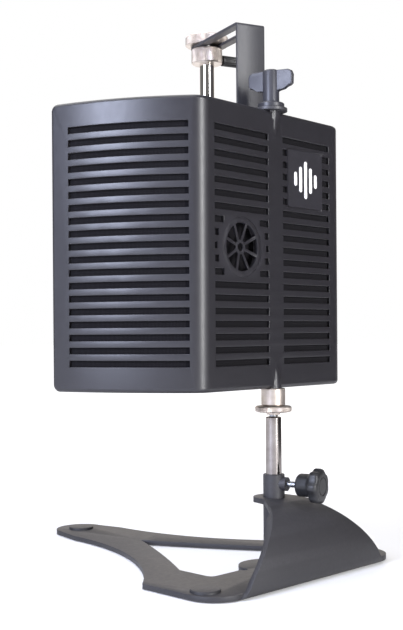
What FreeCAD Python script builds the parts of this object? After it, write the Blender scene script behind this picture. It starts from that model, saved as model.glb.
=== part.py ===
# Desktop microphone isolation shield on a height-adjustable pole and a bent steel base plate.
# Units are millimetres. +Z is up, +Y runs from the pole towards the toe of the base (the microphone
# side) and +X lies along the flat back of the shield. The pieces are drawn about the pole's axis, and
# each one is moved by -CENTRE_Y as it is saved, so the origin is on the floor under the middle of the
# object's footprint.
import FreeCAD
import Part
import math
import os

from FreeCAD import Vector

# ---------------------------------------------------------------- base plate, steel sheet
SHEET = 5.0                      # base sheet thickness
PLATE_Z = 1.0                    # underside of the sheet, held up by rubber feet
PLATE_TOP = PLATE_Z + SHEET
BASE_HALF = 138.0                # half width across the two front corners
TOE_R = 29.0                     # round toe
TOE_Y = 301.0
SIDE_HALF = 36.0                 # half width where the toe's sides meet the flanks
FLANK_R = 305.0                  # hollow flank between toe and front corner
FLANK_Y = 270.0                  # where the flank leaves the toe's side
OPENING_TIP = (0.0, 196.0)       # the opening's curved sides, from its tip to its widest point
OPENING_MID = (40.0, 117.0)
OPENING_SIDE = (75.5, 57.0)
OPENING_Y = 13.5                 # edge of the opening next to the pole
TONGUE_R = 29.0                  # half-round tongue that carries the tube
TONGUE_Y = 9.0
NOTCH_R = 4.5                    # relief notch beside the tongue
FRONT_Y = -52.0                  # front edge of the flat sheet, where it bends up
CORNER_R = 32.0                  # plan radius of the front corners
BEND_Y = -50.0                   # centre of the lower bend
BEND_R = 7.0
CURL_R = 57.0                    # outside radius of the curl over the pole
CURL_Z = 18.0                    # height of the curl's centre
TAB_R = 20.5                     # round end of the curl, with the tube through it
TAB_TOP = CURL_Z + CURL_R
BOSS_R = 14.2                    # pressed round bosses that hold the feet
BOSS_H = 2.5
BOSS_PLACES = ((0.0, TOE_Y), (119.5, -21.0), (-119.5, -21.0))
FOOT_R = 12.0
FOOT_POCKET = 3.5                # depth of the pocket under each boss
STAND_TURN = -2.5                # the stand is set down turned this far from square to the shield
CENTRE_Y = 134.19                # middle of the footprint, seen from the pole

# ---------------------------------------------------------------- pole and its clamp
POLE_R = 8.0
TUBE_R = 10.65
RUNNING = 0.08                   # radial clearance of the sliding and turning fits
TUBE_TOP = 97.4
TUBE_PLUG_L = 8.0
BASE_SCREW_R = 3.0
BASE_SCREW_HEAD = (6.5, 3.4)     # radius and depth of the countersunk head
POLE_BOTTOM = 50.0
POLE_TOP = 154.0
STUD_R = 4.76                    # 3/8 inch stud
STUD_TOP = 177.0
DISC_R = 18.3
DISC_Z = 158.5
DISC_T = 6.0
NUT_R = 12.0
NUT_Z = 165.2
CLAMP_Z = 88.0                   # height of the clamp screw
CLAMP_SCREW_R = 3.0
CLAMP_BOSS_R = 6.8
CLAMP_BOSS_END = 14.8            # distance of the boss face from the pole axis
CLAMP_TURN = 14.5                # degrees the clamp is set round the tube, from square to the base
KNOB_NECK_START = 26.5
KNOB_NECK_R = 11.5
KNOB_HEAD_START = 42.0
KNOB_HEAD_END = 52.5
KNOB_R = 17.5
KNOB_LOBES = 7

# ---------------------------------------------------------------- shield, plan shape
SHIELD_Z = 182.0                 # bottom of the shield
SHIELD_H = 273.0
SHIELD_TOP = SHIELD_Z + SHIELD_H
MID_Z = SHIELD_Z + SHIELD_H / 2
FACE_Y = -5.0                    # outer face of the flat half
FLAT_LEFT = -98.0                # where the flat back meets the left rounded corner
BEND_CORNER_R = 20.0             # outside radius of the corners between back and wings
CORNER_TURN = 52.0               # degrees turned by the corner
WING_R = 300.0                   # outside radius of the curved wing
WING_END = 79.3                  # heading of the wing at its free end, degrees
THICK = 34.0                     # whole thickness of the shield
WALL = 3.0                       # wall of both covers
PARTING = 17.0                   # depth of the joint line between the covers
MIN_CORNER_R = 6.0               # smallest radius of the inner corner
EDGE_R = 4.0                     # rounding of the cover's outer rim
RIM_CORNER_R = 7.0               # rounding of the four corners, seen square on

# slots and what interrupts them
ROWS = 19
PITCH = 12.2
SLOT_H = 6.2
SLOT_CHAMFER = 0.5
SLOT_NEAR = 11.5                 # slots of the flat back run from NEAR to FAR on both sides
SLOT_FAR = 90.5
WING_SLOT_START = 52.6           # degrees of heading
WING_SLOT_END = 75.4
INNER_FAR = 72.0                 # slots of the inner cover
INNER_WING = (60.0, 75.4)
ROSETTE_X = -52.0
ROSETTE_R = 28.5
ROSETTE_CLEAR = 36.0             # no slots inside this radius
ROSETTE_TURN = 18.5              # degrees from upright to the first spoke
ROSETTE_RIM = 23.2               # inner radius of the grille's rim
ROSETTE_HUB = 7.0
GRILLE_SEAT_R = ROSETTE_R + 2.5  # flange behind the face
SPOKES = 8
SPOKE_W = 2.8
BADGE_X = 48.7
BADGE_SIZE = 58.0
BADGE_ROW = 6                    # rows above the middle
BADGE_SINK = 1.2                 # depth of the badge's recess
BADGE_STUB = 0.9                 # gap between a slot stub and the badge

# layers, as depths from the outer face
SCRIM_T = 2.0
OUTER_WOOL = (5.0, 13.0)
SPACERS = (13.0, 18.0)
FOIL = (18.0, 18.6)
INNER_WOOL = (18.6, 29.0)
LAYER_MARGIN = 3.6               # gap between a layer and the ends of the shield
LAYER_SIDE = 4.5                 # gap between a layer and the free ends

# bosses on the pole axis and the cover screws
INSERT_R = 6.0
INSERT_L = 16.0
HUB_R = 8.5
FAIRING = 26.0                   # length over which the boss fades into the flat face
COVER_BOSS_R = 3.6
COVER_SCREW_R = 1.6
COVER_HEAD_R = 3.2
COVER_SCREW_Z = 9.5              # from the top and bottom of the shield
COVER_SCREW_X = 60.0
COVER_SCREW_HEADINGS = (60.0, 74.5)
SPACER_X = (25.0, 84.0)
SPACER_HEADINGS = (61.0, 75.0)

# ---------------------------------------------------------------- bracket and microphone stem
ARM_TURN = -21.3                 # degrees the bracket is turned about the pole axis
STRAP_W = 32.0
STRAP_T = 3.0
RISER_AT = 39.5                  # distance of the riser from the pole axis
ARM_TOP = 553.0
ARM_END = 157.5                  # distance of the arm's tip from the pole axis
ARM_SLOT_W = 13.5
ARM_SLOT = (50.5, 145.0)
STEM_AT = 138.5                  # distance of the microphone stem from the pole axis
STRAP_BEND = 3.2
TOP_SCREW_R = 4.0
FLANGE_R = 13.2
FLANGE_T = 5.0
HANDLE_R = 8.2
HANDLE_TOP = 496.0
HANDLE_TURN = 14.0               # degrees the T handle is turned at rest
WING_SPAN = 24.0
WING_T = 5.6
WING_Z = (478.0, 495.4)
COLLAR_R = 17.0
COLLAR_H = 16.5
COLLAR_STUD_R = 6.0
TOP_DISC_R = 23.5
TOP_DISC_T = 10.0
STEM_R = 8.0
STEM_BOTTOM = 392.0
THREAD_R = 7.94                  # 5/8 inch thread
THREAD_L = 15.0
RELIEF = (7.2, 2.0)              # radius and length of the groove above the thread
THUMB_Z = 539.6
THUMB_SCREW_R = 2.5
THUMB_R = 5.9
THUMB = (18.5, 40.0)             # start and end of the thumb screw's head, from the stem's axis

UP = Vector(0, 0, 1)


# ---------------------------------------------------------------- small helpers
def cylinder(r, h, at, axis=UP):
    return Part.makeCylinder(r, h, Vector(*at), Vector(*axis))


def tube(outer, inner, h, at, axis=UP):
    return cylinder(outer, h, at, axis).cut(cylinder(inner, h, at, axis))


def box(x, y, z):
    """A box from three (low, high) pairs."""
    return Part.makeBox(x[1] - x[0], y[1] - y[0], z[1] - z[0], Vector(x[0], y[0], z[0]))


def polygon(points):
    return Part.makePolygon([Vector(*p) for p in points] + [Vector(*points[0])])


def line(a, b):
    return Part.LineSegment(Vector(*a), Vector(*b)).toShape()


def arc(a, b, c):
    return Part.Arc(Vector(*a), Vector(*b), Vector(*c)).toShape()


def prism(edges, along):
    """The closed outline made by the edges, extruded."""
    return Part.Face(Part.Wire(edges)).extrude(Vector(*along))


def chamfer_rims(solid, size, radius, z_values):
    """Chamfers the circular edges of one radius at the given heights."""
    chosen = []
    for e in solid.Edges:
        round_edge = isinstance(e.Curve, Part.Circle) and abs(e.Curve.Radius - radius) < 0.01
        if round_edge and any(abs(e.BoundBox.ZMin - z) < 0.01 for z in z_values):
            chosen.append(e)
    return solid.makeChamfer(size, chosen)


def mirrored(shape):
    """The same shape on the other side of the pole."""
    return shape.mirror(Vector(0, 0, 0), Vector(1, 0, 0))


def save(name, *shapes):
    solids = [s for shape in shapes for s in shape.Solids]
    out = solids[0] if len(solids) == 1 else Part.makeCompound(solids)
    out.translate(Vector(0, -CENTRE_Y, 0))
    out.exportStep("parts/" + name + ".step")
    print(name, len(solids), "solid(s)", round(out.Volume / 1000, 2), "cm3", "valid", out.isValid())


def set_down(shape, extra=0.0):
    """Turns a piece of the stand to where the stand faces."""
    shape.rotate(Vector(0, 0, 0), UP, STAND_TURN + extra)
    return shape


# ---------------------------------------------------------------- base
def base_blank():
    """Outline of the flat sheet: round toe, hollow flanks, square front."""
    cx = SIDE_HALF + FLANK_R
    flank_end = FLANK_Y - math.sqrt(FLANK_R ** 2 - (cx - BASE_HALF) ** 2)
    mid = math.radians(180 + 0.5 * math.degrees(math.asin((FLANK_Y - flank_end) / FLANK_R)))
    mx, my = cx + FLANK_R * math.cos(mid), FLANK_Y + FLANK_R * math.sin(mid)
    c = CORNER_R * (1 - math.sqrt(0.5))
    edges = [
        arc((-TOE_R, TOE_Y, 0), (0, TOE_Y + TOE_R, 0), (TOE_R, TOE_Y, 0)),
        line((TOE_R, TOE_Y, 0), (SIDE_HALF, FLANK_Y, 0)),
        arc((SIDE_HALF, FLANK_Y, 0), (mx, my, 0), (BASE_HALF, flank_end, 0)),
        line((BASE_HALF, flank_end, 0), (BASE_HALF, FRONT_Y + CORNER_R, 0)),
        arc((BASE_HALF, FRONT_Y + CORNER_R, 0), (BASE_HALF - c, FRONT_Y + c, 0),
            (BASE_HALF - CORNER_R, FRONT_Y, 0)),
        line((BASE_HALF - CORNER_R, FRONT_Y, 0), (CORNER_R - BASE_HALF, FRONT_Y, 0)),
        arc((CORNER_R - BASE_HALF, FRONT_Y, 0), (c - BASE_HALF, FRONT_Y + c, 0),
            (-BASE_HALF, FRONT_Y + CORNER_R, 0)),
        line((-BASE_HALF, FRONT_Y + CORNER_R, 0), (-BASE_HALF, flank_end, 0)),
        arc((-BASE_HALF, flank_end, 0), (-mx, my, 0), (-SIDE_HALF, FLANK_Y, 0)),
        line((-SIDE_HALF, FLANK_Y, 0), (-TOE_R, TOE_Y, 0)),
    ]
    blank = prism(edges, (0, 0, SHEET))
    blank.translate(Vector(0, 0, PLATE_Z))
    return blank


def base_opening():
    """The window in the sheet, pointed towards the toe, with the tongue left standing."""
    tip, x, y = OPENING_TIP[1], OPENING_MID[0], OPENING_MID[1]
    half, side = OPENING_SIDE
    edges = [
        arc((0, tip, 0), (x, y, 0), (half, side, 0)),
        line((half, side, 0), (half, OPENING_Y, 0)),
        line((half, OPENING_Y, 0), (-half, OPENING_Y, 0)),
        line((-half, OPENING_Y, 0), (-half, side, 0)),
        arc((-half, side, 0), (-x, y, 0), (0, tip, 0)),
    ]
    window = prism(edges, (0, 0, SHEET))
    window.translate(Vector(0, 0, PLATE_Z))
    corners = [e for e in window.Edges
               if e.BoundBox.ZLength > SHEET - 0.1 and abs(e.BoundBox.YMin - OPENING_Y) < 0.1]
    window = window.makeFillet(7.0, corners)
    window = window.cut(cylinder(TONGUE_R, SHEET, (0, TONGUE_Y, PLATE_Z)))
    for side_x in (-1, 1):
        notch = cylinder(NOTCH_R, SHEET, (side_x * (TONGUE_R + 2), OPENING_Y, PLATE_Z))
        window = window.fuse(notch)
    return window


def base_curl():
    """The front of the sheet: bent up and rolled back over the tube, tapering to a round tab."""
    out_y, in_y = -CURL_R, SHEET - CURL_R
    low_z = PLATE_Z + BEND_R
    r45 = math.sqrt(0.5)
    inner_bend = BEND_R - SHEET
    edges = [
        line((0, BEND_Y + 2, PLATE_Z), (0, BEND_Y, PLATE_Z)),
        arc((0, BEND_Y, PLATE_Z), (0, BEND_Y - BEND_R * r45, low_z - BEND_R * r45), (0, out_y, low_z)),
        line((0, out_y, low_z), (0, out_y, CURL_Z)),
        arc((0, out_y, CURL_Z), (0, out_y * r45, CURL_Z + CURL_R * r45), (0, 0, TAB_TOP)),
        line((0, 0, TAB_TOP), (0, TAB_R + 2, TAB_TOP)),
        line((0, TAB_R + 2, TAB_TOP), (0, TAB_R + 2, TAB_TOP - SHEET)),
        line((0, TAB_R + 2, TAB_TOP - SHEET), (0, 0, TAB_TOP - SHEET)),
        arc((0, 0, TAB_TOP - SHEET), (0, in_y * r45, CURL_Z - in_y * r45), (0, in_y, CURL_Z)),
        line((0, in_y, CURL_Z), (0, in_y, low_z)),
        arc((0, in_y, low_z), (0, BEND_Y - inner_bend * r45, low_z - inner_bend * r45),
            (0, BEND_Y, PLATE_TOP)),
        line((0, BEND_Y, PLATE_TOP), (0, BEND_Y + 2, PLATE_TOP)),
        line((0, BEND_Y + 2, PLATE_TOP), (0, BEND_Y + 2, PLATE_Z)),
    ]
    strip = prism(edges, (2 * BASE_HALF, 0, 0))
    strip.translate(Vector(-BASE_HALF, 0, 0))
    # the flanks, seen from the front: a flare at the foot, then one long gentle arc
    y = -CURL_R - 5
    flank = [
        line((-110, y, 0), (110, y, 0)),
        arc((110, y, 0), (101, y, 7.5), (95, y, 16.5)),
        arc((95, y, 16.5), (73.5, y, 39), (31, y, 70.5)),
        line((31, y, 70.5), (31, y, TAB_TOP + 5)),
        line((31, y, TAB_TOP + 5), (-31, y, TAB_TOP + 5)),
        line((-31, y, TAB_TOP + 5), (-31, y, 70.5)),
        arc((-31, y, 70.5), (-73.5, y, 39), (-95, y, 16.5)),
        arc((-95, y, 16.5), (-101, y, 7.5), (-110, y, 0)),
    ]
    strip = strip.common(prism(flank, (0, CURL_R + TAB_R + 10, 0)))
    # the tab, seen from above
    tangent = math.radians(58)
    tx, ty = TAB_R * math.sin(tangent), TAB_R * math.cos(tangent)
    tab = [
        line((-130, -CURL_R - 2, 0), (130, -CURL_R - 2, 0)),
        line((130, -CURL_R - 2, 0), (36, -26, 0)),
        line((36, -26, 0), (TAB_R + 0.4, -5, 0)),
        line((TAB_R + 0.4, -5, 0), (tx, ty, 0)),
        arc((tx, ty, 0), (0, TAB_R, 0), (-tx, ty, 0)),
        line((-tx, ty, 0), (-TAB_R - 0.4, -5, 0)),
        line((-TAB_R - 0.4, -5, 0), (-36, -26, 0)),
        line((-36, -26, 0), (-130, -CURL_R - 2, 0)),
    ]
    strip = strip.common(prism(tab, (0, 0, TAB_TOP + 5)))
    return strip


def make_base():
    plate = base_blank().cut(base_opening())
    plate = plate.fuse(base_curl()).removeSplitter()
    for x, y in BOSS_PLACES:
        boss = cylinder(BOSS_R, BOSS_H + 1, (x, y, PLATE_TOP - 1))
        boss = chamfer_rims(boss, 0.8, BOSS_R, [PLATE_TOP + BOSS_H])
        plate = plate.fuse(boss)
        plate = plate.cut(cylinder(FOOT_R + 0.3, FOOT_POCKET, (x, y, PLATE_Z)))
    tube_hole = cylinder(TUBE_R + 0.05, SHEET + 2, (0, 0, TAB_TOP - SHEET - 1))
    head_r, head_t = BASE_SCREW_HEAD
    screw_head = Part.makeCone(head_r, BASE_SCREW_R, head_t, Vector(0, 0, PLATE_Z))
    screw_end = PLATE_TOP + TUBE_PLUG_L - 1.5
    screw = screw_head.fuse(cylinder(BASE_SCREW_R, screw_end - PLATE_Z, (0, 0, PLATE_Z))).removeSplitter()
    plate = plate.cut(tube_hole).cut(screw)
    save("base_plate", set_down(plate))

    feet = []
    for x, y in BOSS_PLACES:
        foot = cylinder(FOOT_R, PLATE_Z + FOOT_POCKET, (x, y, 0))
        feet.append(chamfer_rims(foot, 0.4, FOOT_R, [0.0]))
    save("rubber_feet", *[set_down(foot) for foot in feet])

    sleeve = tube(TUBE_R, POLE_R + RUNNING, TUBE_TOP - PLATE_TOP, (0, 0, PLATE_TOP))
    sleeve = chamfer_rims(sleeve, 0.6, TUBE_R, [TUBE_TOP])
    sleeve = sleeve.cut(cylinder(CLAMP_SCREW_R + 0.1, TUBE_R + 2, (0, 0, CLAMP_Z), (0, -1, 0)))
    save("base_tube", set_down(sleeve, CLAMP_TURN))

    save("tube_plug", set_down(cylinder(POLE_R + RUNNING, TUBE_PLUG_L, (0, 0, PLATE_TOP)).cut(screw)))
    save("base_screw", set_down(screw))

    boss = tube(CLAMP_BOSS_R, CLAMP_SCREW_R + RUNNING, CLAMP_BOSS_END, (0, 0, CLAMP_Z), (0, -1, 0))
    boss = boss.cut(cylinder(TUBE_R + 0.02, 40, (0, 0, CLAMP_Z - 20)))
    save("clamp_boss", set_down(boss, CLAMP_TURN))


# ---------------------------------------------------------------- clamp knob and pole
def make_clamp():
    length = KNOB_HEAD_START + 4 - POLE_R - 0.05
    screw = cylinder(CLAMP_SCREW_R, length, (0, -POLE_R - 0.05, CLAMP_Z), (0, -1, 0))
    save("clamp_screw", set_down(screw, CLAMP_TURN))

    head_t = KNOB_HEAD_END - KNOB_HEAD_START
    head = cylinder(KNOB_R, head_t, (0, -KNOB_HEAD_START, CLAMP_Z), (0, -1, 0))
    rims = [e for e in head.Edges if isinstance(e.Curve, Part.Circle)]
    head = head.makeFillet(2.5, rims)
    for i in range(KNOB_LOBES):
        a = 2 * math.pi * (i + 0.5) / KNOB_LOBES
        x, z = 24.5 * math.sin(a), CLAMP_Z + 24.5 * math.cos(a)
        head = head.cut(cylinder(8.6, head_t + 2, (x, 1 - KNOB_HEAD_START, z), (0, -1, 0)))
    neck_l = KNOB_HEAD_START - KNOB_NECK_START + 1
    neck = cylinder(KNOB_NECK_R, neck_l, (0, -KNOB_NECK_START, CLAMP_Z), (0, -1, 0))
    rims = [e for e in neck.Edges
            if isinstance(e.Curve, Part.Circle) and abs(e.BoundBox.YMin + KNOB_NECK_START) < 0.01]
    neck = neck.makeFillet(1.5, rims)
    knob = head.fuse(neck).removeSplitter()
    bore = cylinder(CLAMP_SCREW_R + 0.05, KNOB_HEAD_START + 4.2 - KNOB_NECK_START + 1,
                    (0, 1 - KNOB_NECK_START, CLAMP_Z), (0, -1, 0))
    save("clamp_knob", set_down(knob.cut(bore), CLAMP_TURN))


def make_pole():
    pole = cylinder(POLE_R, POLE_TOP - POLE_BOTTOM, (0, 0, POLE_BOTTOM))
    pole = chamfer_rims(pole, 1.0, POLE_R, [POLE_TOP])
    pole = pole.cut(cylinder(STUD_R, 14, (0, 0, POLE_TOP - 14)))
    pole = pole.cut(cylinder(POLE_R - 2, 70, (0, 0, POLE_BOTTOM)))
    save("pole", pole)
    stud = cylinder(STUD_R, STUD_TOP - POLE_TOP + 14, (0, 0, POLE_TOP - 14))
    save("pole_stud", chamfer_rims(stud, 0.8, STUD_R, [STUD_TOP]))
    plug = cylinder(POLE_R - 2, 8, (0, 0, POLE_BOTTOM))
    plug = plug.fuse(cylinder(POLE_R - 0.2, 2.5, (0, 0, POLE_BOTTOM - 2.5)))
    save("pole_end_plug", plug)

    disc = tube(DISC_R, STUD_R + RUNNING, DISC_T, (0, 0, DISC_Z))
    disc = chamfer_rims(disc, 0.8, DISC_R, [DISC_Z, DISC_Z + DISC_T])
    hub = tube(7.0, STUD_R + RUNNING, 2.6, (0, 0, DISC_Z - 2.6))
    save("lock_disc", disc.fuse(hub).removeSplitter())


# ---------------------------------------------------------------- shield plan geometry
def wing_centre():
    """Centre of the wing's arcs, from the corner it leaves."""
    t = math.radians(CORNER_TURN)
    cx, cy = FLAT_LEFT, FACE_Y + BEND_CORNER_R
    start = (cx - BEND_CORNER_R * math.sin(t), cy - BEND_CORNER_R * math.cos(t))
    return start[0] + WING_R * math.sin(t), start[1] + WING_R * math.cos(t)


WING_X, WING_Y = wing_centre()


def on_wing(depth, heading):
    """Point of the wing at a depth from the outer face, at a heading in degrees."""
    h = math.radians(heading)
    r = WING_R - depth
    return WING_X - r * math.sin(h), WING_Y - r * math.cos(h)


def course(depth):
    """Where a surface at this depth turns: corner centre, radius, and its heading on the wing."""
    y = FACE_Y + depth
    r = max(BEND_CORNER_R - depth, MIN_CORNER_R)
    reach = WING_R - depth - r
    x = WING_X - math.sqrt(reach ** 2 - (y + r - WING_Y) ** 2)
    heading = math.degrees(math.atan2(WING_X - x, WING_Y - y - r))
    return x, y + r, r, heading


def skin(depth, end):
    """Edges of the surface at this depth, from the middle round the left corner to heading = end."""
    cx, cy, r, heading = course(depth)
    h = math.radians(heading)
    p0, p1 = (0, FACE_Y + depth, 0), (cx, cy - r, 0)
    p2 = (cx - r * math.sin(h / 2), cy - r * math.cos(h / 2), 0)
    p3 = (*on_wing(depth, heading), 0)
    p4 = (*on_wing(depth, (heading + end) / 2), 0)
    p5 = (*on_wing(depth, end), 0)
    return [line(p0, p1), arc(p1, p2, p3), arc(p3, p4, p5)]


def slab(d0, d1, z0, z1, side=0.0):
    """A layer between two depths, stopping `side` short of both free ends."""
    end = WING_END - math.degrees(side / WING_R)
    close = [line((*on_wing(d0, end), 0), (*on_wing(d1, end), 0)),
             line((0, FACE_Y + d1, 0), (0, FACE_Y + d0, 0))]
    outline = Part.sortEdges(skin(d0, end) + close + skin(d1, end))[0]
    left = prism(outline, (0, 0, z1 - z0))
    layer = left.fuse(mirrored(left)).removeSplitter()
    layer.translate(Vector(0, 0, z0))
    return layer


def rows():
    """Row number from the middle and height of each slot row."""
    half = (ROWS - 1) // 2
    return [(k, MID_Z + k * PITCH) for k in range(-half, half + 1)]


def slot_section(z, front, flip):
    """Corner points (depth, height) of a slot's cutter, chamfered on the face it opens to."""
    h, c, over = SLOT_H / 2, SLOT_CHAMFER, 1.0
    pts = [(-over, h + c + over), (c, h), (WALL + over, h),
           (WALL + over, -h), (c, -h), (-over, -h - c - over)]
    if flip:
        return [(front - d, z + dz) for d, dz in pts]
    return [(front + d, z + dz) for d, dz in pts]


def flat_slot(x0, x1, z, front=0.0, flip=False):
    pts = [(x0, FACE_Y + d, zz) for d, zz in slot_section(z, front, flip)]
    return Part.Face(polygon(pts)).extrude(Vector(x1 - x0, 0, 0))


def wing_slot(z, start, end, front=0.0, flip=False):
    h = math.radians(start)
    pts = []
    for d, zz in slot_section(z, front, flip):
        r = WING_R - d
        pts.append((WING_X - r * math.sin(h), WING_Y - r * math.cos(h), zz))
    face = Part.Face(polygon(pts))
    return face.revolve(Vector(WING_X, WING_Y, 0), UP, start - end)


def outer_slots():
    cutters = []
    for k, z in rows():
        wing = wing_slot(z, WING_SLOT_START, WING_SLOT_END)
        cutters += [wing, mirrored(wing)]
        # right column, stopped at the badge
        if 4 <= k <= 8:
            half = BADGE_SIZE / 2 + BADGE_STUB
            cutters.append(flat_slot(SLOT_NEAR, BADGE_X - half, z))
            cutters.append(flat_slot(BADGE_X + half, SLOT_FAR, z))
        else:
            cutters.append(flat_slot(SLOT_NEAR, SLOT_FAR, z))
        # left column, stopped at the rosette
        rise = abs(k) * PITCH
        if rise < ROSETTE_CLEAR - 1:
            half = math.sqrt(ROSETTE_CLEAR ** 2 - rise ** 2)
            cutters.append(flat_slot(-SLOT_FAR - 1, ROSETTE_X - half, z))
            cutters.append(flat_slot(ROSETTE_X + half, -SLOT_NEAR, z))
        else:
            cutters.append(flat_slot(-SLOT_FAR - 1, -SLOT_NEAR, z))
    return Part.makeCompound(cutters)


def inner_slots():
    cutters = []
    for _, z in rows():
        wing = wing_slot(z, *INNER_WING, front=THICK, flip=True)
        back = flat_slot(-INNER_FAR, -SLOT_NEAR, z, front=THICK, flip=True)
        cutters += [wing, mirrored(wing), back, mirrored(back)]
    return Part.makeCompound(cutters)


def rounded_half(d0, d1, face_depth):
    """A block between two depths with its corners and the rim of one face rounded."""
    block = slab(d0, d1, SHIELD_Z, SHIELD_TOP)
    tips = [Vector(*on_wing(d, WING_END), 0) for d in (d0, d1)]
    corners = []
    for e in block.Edges:
        ends = [Vector(-abs(v.X), v.Y, 0) for v in e.Vertexes]
        at_tips = len(ends) == 2 and all(min((p - t).Length for t in tips) < 0.01 for p in ends)
        if at_tips and e.BoundBox.ZLength < 0.01:
            corners.append(e)
    block = block.makeFillet(RIM_CORNER_R, corners)
    cx, cy, r, _ = course(face_depth)
    tip = on_wing(face_depth, WING_END)
    rim = []
    for e in block.Edges:
        mid = e.valueAt((e.FirstParameter + e.LastParameter) / 2)
        x = -abs(mid.x)
        on_flat = abs(mid.y - FACE_Y - face_depth) < 0.02 and x > cx - 0.01
        on_arc = abs(math.hypot(x - WING_X, mid.y - WING_Y) - WING_R + face_depth) < 0.02
        on_corner = abs(math.hypot(x - cx, mid.y - cy) - r) < 0.02
        seam = e.BoundBox.ZLength > 20 and math.hypot(x - tip[0], mid.y - tip[1]) > 0.02
        if (on_flat or on_arc or on_corner) and not seam:
            rim.append(e)
    return block.makeFillet(EDGE_R, rim)


def cover_screw_places():
    """(x, y, nx, ny, z) of the cover screws on the outer face, nx and ny pointing inwards."""
    left = [(-COVER_SCREW_X, FACE_Y, 0.0, 1.0)]
    for heading in COVER_SCREW_HEADINGS:
        h = math.radians(heading)
        left.append((*on_wing(0, heading), math.sin(h), math.cos(h)))
    right = [(-x, y, -nx, ny) for x, y, nx, ny in left]
    heights = (SHIELD_Z + COVER_SCREW_Z, SHIELD_TOP - COVER_SCREW_Z)
    return [(x, y, nx, ny, z) for x, y, nx, ny in left + right for z in heights]


def along(place, depth):
    x, y, nx, ny, z = place
    return x + nx * depth, y + ny * depth, z


def axis_boss(z0, z1):
    """Solid round boss on the pole axis."""
    return cylinder(HUB_R, z1 - z0, (0, 0, z0))


def make_outer_cover():
    shell = rounded_half(0, PARTING, 0)
    shell = shell.cut(slab(WALL, PARTING + 1, SHIELD_Z + WALL, SHIELD_TOP - WALL, WALL))
    hole = cylinder(ROSETTE_R, WALL + 2, (ROSETTE_X, FACE_Y - 1, MID_Z), (0, 1, 0))
    shell = shell.cut(outer_slots())
    shell = shell.cut(hole)
    half = BADGE_SIZE / 2
    badge_z = MID_Z + BADGE_ROW * PITCH
    recess = box((BADGE_X - half, BADGE_X + half), (FACE_Y - 1, FACE_Y + BADGE_SINK),
                 (badge_z - half, badge_z + half))
    shell = shell.cut(recess)
    # bosses on the pole axis, faded into the flat face by a cone
    for end, step in ((SHIELD_TOP, -1), (SHIELD_Z, 1)):
        low = min(end, end + step * (INSERT_L + WALL))
        boss = axis_boss(low, low + INSERT_L + WALL)
        behind = box((-20, 20), (FACE_Y + 0.5, 20), (low - 1, low + INSERT_L + WALL + 1))
        fairing = Part.makeCone(HUB_R, -FACE_Y, FAIRING, Vector(0, 0, end), Vector(0, 0, step))
        shell = shell.fuse(boss.common(behind)).fuse(fairing)
        shell = shell.cut(cylinder(INSERT_R, INSERT_L, (0, 0, end), (0, 0, step)))
    for place in cover_screw_places():
        _, _, nx, ny, _ = place
        post = cylinder(COVER_BOSS_R, THICK - WALL - WALL + 0.5, along(place, WALL - 0.5), (nx, ny, 0))
        post = post.cut(cylinder(COVER_SCREW_R, 16, along(place, THICK - WALL - 16), (nx, ny, 0)))
        shell = shell.fuse(post)
    save("outer_cover", shell.removeSplitter())


def make_inner_cover():
    shell = rounded_half(PARTING, THICK, THICK)
    shell = shell.cut(slab(PARTING - 1, THICK - WALL, SHIELD_Z + WALL, SHIELD_TOP - WALL, WALL))
    shell = shell.cut(inner_slots())
    for place in cover_screw_places():
        _, _, nx, ny, _ = place
        inward = (nx, ny, 0)
        shell = shell.cut(cylinder(COVER_SCREW_R + 0.2, WALL + 2, along(place, THICK - WALL - 1), inward))
        shell = shell.cut(cylinder(COVER_HEAD_R + 0.2, 2, along(place, THICK - 1.6), inward))
    save("inner_cover", shell)


def make_layers():
    z0, z1 = SHIELD_Z + LAYER_MARGIN, SHIELD_TOP - LAYER_MARGIN
    gaps = [cylinder(HUB_R + 0.3, 60, (0, 0, z - 30)) for z in (SHIELD_Z, SHIELD_TOP)]
    for place in cover_screw_places():
        _, _, nx, ny, _ = place
        gaps.append(cylinder(COVER_BOSS_R + 0.3, THICK, along(place, 0), (nx, ny, 0)))
    gaps = Part.makeCompound(gaps)
    vent = cylinder(ROSETTE_R - 1, OUTER_WOOL[1] + 1, (ROSETTE_X, FACE_Y, MID_Z), (0, 1, 0))

    def layer(d0, d1):
        return slab(d0, d1, z0, z1, LAYER_SIDE).cut(gaps)

    seat = cylinder(GRILLE_SEAT_R + 0.3, OUTER_WOOL[0], (ROSETTE_X, FACE_Y, MID_Z), (0, 1, 0))
    save("outer_scrim", layer(WALL, WALL + SCRIM_T).cut(seat))
    save("outer_wool", layer(*OUTER_WOOL).cut(vent))
    save("foil_sheet", layer(*FOIL))
    save("inner_wool", layer(*INNER_WOOL))
    save("inner_scrim", layer(THICK - WALL - SCRIM_T, THICK - WALL))

    bars = []
    ring = layer(*SPACERS)
    for x in SPACER_X:
        bar = box((x - 4, x + 4), (FACE_Y + SPACERS[0], FACE_Y + SPACERS[1]), (z0, z1))
        bars += [bar, mirrored(bar)]
    for heading in SPACER_HEADINGS:
        x, y = on_wing(SPACERS[0], heading)
        bar = ring.common(cylinder(4.5, z1 - z0, (x, y, z0)))
        bars += [bar, mirrored(bar)]
    save("spacer_bars", *bars)

    cloth = cylinder(ROSETTE_R - 1.2, 0.8, (ROSETTE_X, FACE_Y + OUTER_WOOL[1] - 0.8, MID_Z), (0, 1, 0))
    save("rosette_cloth", cloth)


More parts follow.
